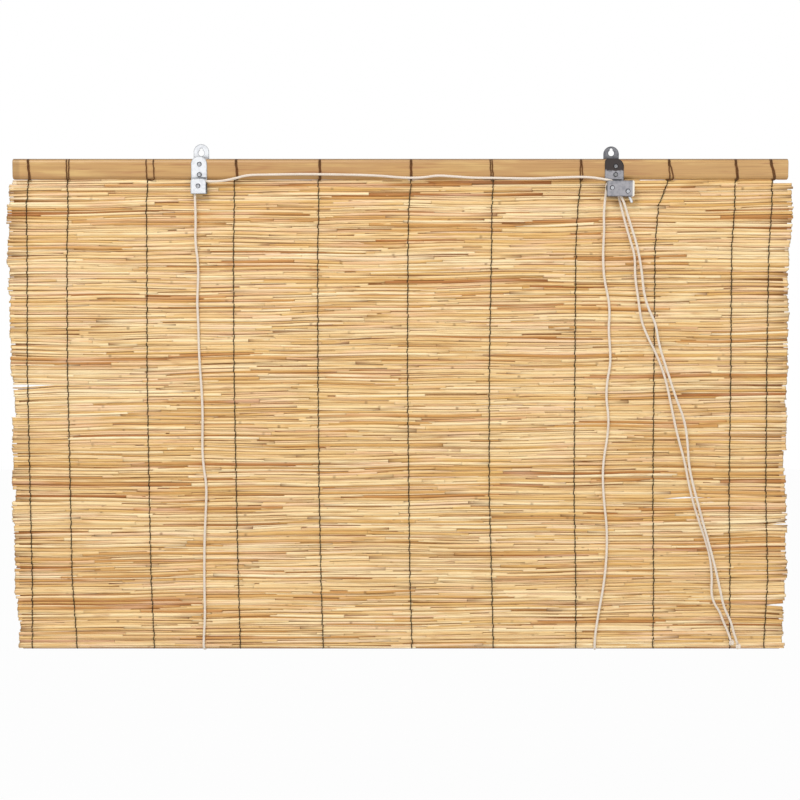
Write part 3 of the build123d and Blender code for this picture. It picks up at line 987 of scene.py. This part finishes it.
left_front_run = (
    (-244.0, -15.0, -74.0),
    (-245.5, -13.8, -102.0),
    (-242.0, -12.9, -128.5),
    (-242.5, -12.4, -149.5),
    (-244.0, -12.2, -172.0),
    (-242.7, -12.4, -198.0),
    (-242.5, -12.2, -222.0),
    (-241.5, -12.5, -248.0),
    (-239.5, -12.3, -275.0),
    (-238.5, -12.6, -308.5),
    (-239.5, -12.3, -342.0),
    (-238.5, -12.4, -364.0),
    (-235.0, -12.6, -386.0),
    (-235.5, -12.3, -411.0),
    (-237.2, -12.5, -438.0),
    (-238.3, -12.3, -470.0),
    (-238.5, -12.5, -510.5),
    (-238.0, -12.2, -545.0),
    (-240.0, -11.9, -570.0),
)
left_back_run = (
    (-237.6, -0.3, -560.0),
    (-236.2, -1.2, -525.0),
    (-235.4, -3.0, -470.0),
    (-236.4, -3.5, -412.0),
    (-235.2, -3.3, -353.0),
    (-234.6, -3.6, -294.0),
    (-235.3, -3.4, -235.0),
    (-234.2, -3.6, -176.0),
    (-233.7, -3.5, -118.0),
    (-233.9, -3.65, -62.0),
)
right_front_run = (
    (228.8, -15.2, -66.0),
    (230.0, -14.2, -88.0),
    (229.0, -13.2, -109.0),
    (229.2, -12.6, -128.5),
    (231.0, -12.3, -148.0),
    (236.2, -12.2, -170.0),
    (237.5, -12.4, -186.0),
    (236.2, -12.5, -204.0),
    (238.2, -12.3, -226.0),
    (239.0, -12.5, -245.0),
    (234.8, -12.3, -267.5),
    (234.4, -12.4, -287.0),
    (237.5, -12.6, -307.5),
    (236.5, -12.3, -330.0),
    (232.0, -12.5, -356.0),
    (231.0, -12.3, -380.0),
    (233.0, -12.5, -409.0),
    (236.5, -12.3, -436.0),
    (237.0, -12.5, -467.0),
    (234.0, -12.3, -505.0),
    (227.5, -12.5, -541.0),
    (223.5, -12.0, -570.0),
)
right_back_run = (
    (225.2, -0.3, -560.0),
    (227.4, -1.2, -525.0),
    (229.6, -3.0, -470.0),
    (230.4, -3.5, -412.0),
    (232.0, -3.3, -353.0),
    (232.4, -3.6, -294.0),
    (231.6, -3.4, -235.0),
    (232.9, -3.6, -176.0),
    (233.3, -3.5, -118.0),
    (233.1, -3.65, -62.0),
)
cross_run = (
    (-219.5, -15.6, -33.8),
    (-199.5, -15.3, -30.4),
    (-185.0, -15.2, -26.0),
    (-163.0, -15.0, -25.6),
    (-123.0, -15.1, -24.9),
    (-77.0, -15.0, -25.4),
    (-34.0, -15.1, -26.4),
    (-3.0, -15.2, -29.3),
    (19.0, -15.0, -29.0),
    (35.0, -15.1, -26.4),
    (51.0, -15.2, -27.3),
    (76.0, -15.0, -29.2),
    (108.5, -15.2, -29.4),
    (147.0, -15.3, -30.2),
    (182.0, -15.8, -28.6),
    (210.0, -17.6, -28.1),
    (229.5, -20.6, -31.1),
)
pull_left_run = (
    (247.0, -15.6, -54.0),
    (253.0, -15.0, -77.0),
    (260.2, -14.4, -101.0),
    (266.2, -13.9, -119.0),
    (266.2, -13.6, -143.5),
    (270.8, -13.4, -171.0),
    (273.8, -13.5, -193.0),
    (280.5, -13.4, -211.0),
    (292.5, -13.4, -233.5),
    (303.5, -13.5, -262.0),
    (310.0, -13.4, -292.0),
    (317.8, -13.4, -328.0),
    (326.8, -13.5, -358.5),
    (332.2, -13.4, -385.5),
    (338.0, -13.4, -410.0),
    (349.3, -13.5, -443.0),
    (358.2, -13.4, -470.0),
    (361.3, -13.4, -497.0),
    (360.4, -13.5, -516.5),
    (364.4, -13.4, -529.5),
    (371.0, -13.4, -538.5),
    (374.8, -13.5, -549.5),
    (381.0, -13.4, -562.5),
)
pull_right_run = (
    (247.6, -20.2, -49.4),
    (252.4, -19.6, -58.5),
    (258.4, -18.8, -79.0),
    (267.4, -18.0, -105.0),
    (273.6, -17.5, -136.0),
    (276.2, -17.2, -162.0),
    (282.0, -17.0, -181.0),
    (290.8, -17.0, -198.0),
    (294.4, -17.1, -222.0),
    (304.4, -17.0, -252.0),
    (315.0, -17.1, -284.0),
    (325.6, -17.0, -310.0),
    (329.6, -17.1, -336.0),
    (331.4, -17.0, -365.0),
    (338.0, -17.0, -392.0),
    (345.6, -17.1, -419.5),
    (354.0, -17.0, -449.0),
    (363.0, -17.1, -480.5),
    (370.0, -17.0, -510.0),
    (375.0, -17.0, -533.0),
    (383.6, -17.1, -549.5),
    (387.4, -17.0, -564.0),
)
pull_left_end = (384.4, -14.3, -572.6)
pull_right_end = (391.6, -18.2, -576.4)

left_axle = (-240.8, -38.6)
right_axle = (237.6, -40.8)
left_wrap_r = 4.6
right_wrap_r = 5.6
back_wheel_y = -15.8
front_wheel_y = -20.6
under_mat = -584.5
anchor_x = 233.5
anchor_y = -3.7
anchor_z = -17.1
anchor_knot_y = -3.5
anchor_knot_z = -14.0
behind_lath_y = -1.6

left_start = (left_axle[0] - left_wrap_r, back_wheel_y, left_axle[1])
right_start = (right_axle[0] - right_wrap_r, back_wheel_y, right_axle[1])


def spline_points(name, points):
    """Points read from one smooth spline whose control points are the route's."""
    curve = bpy.data.curves.new(name, "CURVE")
    curve.dimensions = "3D"
    spline = curve.splines.new("NURBS")
    spline.points.add(len(points) - 1)
    for control, point in zip(spline.points, points):
        control.co = (*(c * mm for c in point), 1)
    spline.order_u = 3
    spline.use_endpoint_u = True
    spline.resolution_u = 24
    route = bpy.data.objects.new(name, curve)
    bpy.context.scene.collection.objects.link(route)
    mesh = bpy.data.meshes.new_from_object(route)
    found = [tuple(c / mm for c in v.co) for v in mesh.vertices]
    bpy.data.objects.remove(route)
    return found


def even_points(points, step):
    """The same line in steps of equal length."""
    out = [Vector(points[0])]
    spare = 0.0
    for a, b in zip(points, points[1:]):
        a, b = Vector(a), Vector(b)
        run = (b - a).length
        at = step - spare
        while at <= run:
            out.append(a + (b - a) * (at / run))
            at += step
        spare = (spare + run) % step
    if (out[-1] - Vector(points[-1])).length > 0.2 * step:
        out.append(Vector(points[-1]))
    return [tuple(p) for p in out]


def cord_shape(length, angle):
    """Radius of the cord, whose strands turn along the length."""
    turn = angle - 2 * math.pi * length / cord_twist
    return cord_r * (1.0 + cord_strand_bulge * math.cos(cord_strands * turn))


def make_cord(builder, name, node):
    """Turns what the builder holds into a cord or knot on the head rail's body, in place of a node."""
    piece = builder.make(name, cord_white)
    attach(piece, "blind")
    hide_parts(node)
    return piece


def cord_tube(name, line, node):
    """A mesh cord along a line. Returns the piece, the points it follows and its length, in metres."""
    builder = Builder()
    length = tube_along(builder, line, cord_shape, cord_sides)
    piece = make_cord(builder, name, node)
    return piece, [tuple(c * mm for c in p) for p in line], length * mm


def lift_cord(side, start, front_run, back_run, knot_x, node):
    """The front run and its turn under the mat, the back run, and the short end that goes up to the knot."""
    x, y = front_run[-1][:2]
    back_x, back_y = back_run[0][:2]
    turn = [(x, y + 0.1, under_mat), (back_x, back_y - 0.2, under_mat - 0.1)]
    whole = [start, *front_run, *turn, *back_run, (knot_x, anchor_y, anchor_z)]
    line = even_points(spline_points(f"{side}_lift_route", whole), cord_step)
    lowest = min(range(len(line)), key=lambda i: line[i][2])
    split = next(i for i in range(lowest, len(line)) if line[i][1] > behind_lath_y)
    top = next(i for i in range(split, len(line)) if line[i][2] > start[2])
    front = cord_tube(f"{side}_lift_front", line[: split + 1], node)
    back = cord_tube(f"{side}_lift_back", line[split : top + 1], node)
    end = cord_tube(f"{side}_lift_end", line[top:], node)
    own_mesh(front[0])
    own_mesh(back[0])
    return front, back, end


knot_steps = 90
knot_cord_r = 1.3
knot_inset = 1.2
knot_depth_inset = 1.6


def knotted_shape(length, angle):
    """Radius of the cord in a knot, where it is pulled thin."""
    return knot_cord_r * (0.97 + 0.05 * math.cos(cord_strands * (angle - length)))


def knot_piece(name, centre, way, radius, node):
    """An overhand knot: a trefoil of cord pulled tight."""
    way = Vector(way).normalized()
    aside = way.orthogonal().normalized()
    up = way.cross(aside)
    wide = radius - knot_inset
    deep = radius - knot_depth_inset
    points = []
    for i in range(knot_steps + 1):
        t = 2 * math.pi * i / knot_steps
        u = (math.sin(t) + 2 * math.sin(2 * t)) / 3
        v = (math.cos(t) - 2 * math.cos(2 * t)) / 3
        w = -math.sin(3 * t)
        spot = Vector(centre) + (aside * u + up * v) * wide + way * (w * deep)
        points.append(tuple(spot))
    builder = Builder()
    tube_along(builder, points, knotted_shape, cord_sides)
    return make_cord(builder, name, node)


def anchor_knot(side, x):
    """The knot at the back end of a lift cord, in the pocket behind its hanger."""
    centre = (x, anchor_knot_y, anchor_knot_z)
    node = f"{side}_anchor_knot"
    return knot_piece(f"{node}_tied", centre, (0, 1, 0), anchor_knot_r, node)


left_knot = anchor_knot("left", -anchor_x)
right_knot = anchor_knot("right", anchor_x)

for side, start, front_run, back_run, x, knot in (
    ("left", left_start, left_front_run, left_back_run, -anchor_x, left_knot),
    ("right", right_start, right_front_run, right_back_run, anchor_x, right_knot),
):
    front, back, end = lift_cord(side, start, front_run, back_run, x, f"{side}_lift_cord")

left_corner = (left_start[0] - 0.6, left_start[1], left_axle[1] + left_wrap_r + 1.6)
right_corner = (right_start[0] - 0.6, right_start[1], right_axle[1] + right_wrap_r + 1.8)
over_front = (right_axle[0] + 3.8, front_wheel_y, right_axle[1] + right_wrap_r + 1.4)
over_back = (right_axle[0] + 4.6, back_wheel_y, right_axle[1] + right_wrap_r + 1.8)

left_pull = [left_start, left_corner, *cross_run, over_front, *pull_right_run, pull_right_end]
right_pull = [right_start, right_corner, over_back, *pull_left_run, pull_left_end]

for node, points, knot_node in (
    ("left_pull_cord", left_pull, "left_pull_knot"),
    ("right_pull_cord", right_pull, "right_pull_knot"),
):
    line = even_points(spline_points(f"{node}_route", points), cord_step)
    made = cord_tube(f"{node}_tied", line, node)
    way = Vector(points[-1]) - Vector(points[-2])
    low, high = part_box(knot_node)
    centre = tuple(c / mm for c in (low + high) / 2)
    knot = knot_piece(f"{knot_node}_tied", centre, way, knot_r, knot_node)

# Materials of the CAD pieces that stay

finishes = {
    "head_rail": rail_wood,
    "bottom_rail": rail_wood,
    "left_hanger_plate": bright_steel,
    "left_housing": crease_shadow_steel,
    "left_axle": bright_rivet,
    "left_rivets": bright_rivet,
    "right_hanger_plate": shaded_zinc,
    "right_housing": dull_steel,
    "right_axle": bright_rivet,
    "right_rivets": dull_rivet,
    "cam_pin": bright_rivet,
    "left_wheel": wheel_steel,
    "right_wheel_back": wheel_steel,
    "right_wheel_front": wheel_steel,
    "lock_cam": bright_steel,
}
for node, material in finishes.items():
    mesh = nodes[node].data
    mesh.materials.clear()
    mesh.materials.append(material)

# Floor, light and camera

white_share = 0.96
stage_grey = (0.8, 0.8, 0.8, 1)
floor_z = -1.1
floor_half = 6


def seen_or_reflected(tree):
    """1 for a ray from the camera, off something glossy or through glass, and 0 for any other."""
    paths = tree.nodes.new("ShaderNodeLightPath")
    share = paths.outputs["Is Camera Ray"]
    for other in ("Is Glossy Ray", "Is Transmission Ray"):
        either = tree.nodes.new("ShaderNodeMath")
        either.operation = "MAXIMUM"
        tree.links.new(share, either.inputs[0])
        tree.links.new(paths.outputs[other], either.inputs[1])
        share = either.outputs[0]
    return share


def white_stage(name, corners):
    """A plain sheet that shows white to the camera and still catches the object's shadow."""
    mesh = bpy.data.meshes.new(name)
    mesh.from_pydata(corners, [], [(0, 1, 2, 3)])
    sheet = bpy.data.objects.new(name, mesh)
    bpy.context.scene.collection.objects.link(sheet)
    s = Shader(name, 0.9)
    s.bsdf.inputs["Base Color"].default_value = stage_grey
    s.bsdf.inputs["Specular IOR Level"].default_value = 0.0
    white = s.node("ShaderNodeEmission")
    both = s.node("ShaderNodeMixShader")
    shown = s.math("MULTIPLY", seen_or_reflected(s.tree), white_share)
    s.feed(both.inputs[0], shown)
    s.feed(both.inputs[1], s.bsdf.outputs[0])
    s.feed(both.inputs[2], white.outputs[0])
    s.feed(s.tree.nodes["Material Output"].inputs["Surface"], both.outputs[0])
    mesh.materials.append(s.material)


floor_signs = ((-1, -1), (1, -1), (1, 1), (-1, 1))
white_stage("floor", [(floor_half * x, floor_half * y, floor_z) for x, y in floor_signs])

world = bpy.data.worlds.new("studio")
bpy.context.scene.world = world
world.use_nodes = True
tree = world.node_tree
background = tree.nodes["Background"]
background.inputs["Color"].default_value = (1, 1, 1, 1)
plain_level = 0.62
level = tree.nodes.new("ShaderNodeMapRange")
level.inputs["To Min"].default_value = plain_level
level.inputs["To Max"].default_value = 1.0
tree.links.new(seen_or_reflected(tree), level.inputs["Value"])
tree.links.new(level.outputs[0], background.inputs["Strength"])


def soft_light(name, place, target, size, power):
    data = bpy.data.lights.new(name, "AREA")
    data.shape = "DISK"
    data.size = size
    data.energy = power
    lamp = bpy.data.objects.new(name, data)
    lamp.location = place
    lamp.rotation_euler = (Vector(target) - Vector(place)).to_track_quat("-Z", "Y").to_euler()
    bpy.context.scene.collection.objects.link(lamp)


mat_middle = (0, 0, -0.3)
soft_light("key", (-0.9, -2.2, 1.9), mat_middle, 1.2, 46)
soft_light("fill", (1.6, -2.4, 0.6), mat_middle, 1.6, 12)

camera_place = Vector((-0.00728, -2.0, -0.1276))
camera_pitch = 4.6
frame_pixels = 800
focal_pixels = 1701.7
data = bpy.data.cameras.new("camera")
data.sensor_width = 36
data.lens = focal_pixels / frame_pixels * data.sensor_width
data.clip_start = 0.05
data.clip_end = 50
camera = bpy.data.objects.new("camera", data)
camera.location = camera_place
camera.rotation_euler = (math.radians(90 - camera_pitch), 0, 0)
bpy.context.scene.collection.objects.link(camera)
bpy.context.scene.camera = camera
bpy.context.scene.view_settings.view_transform = "Standard"
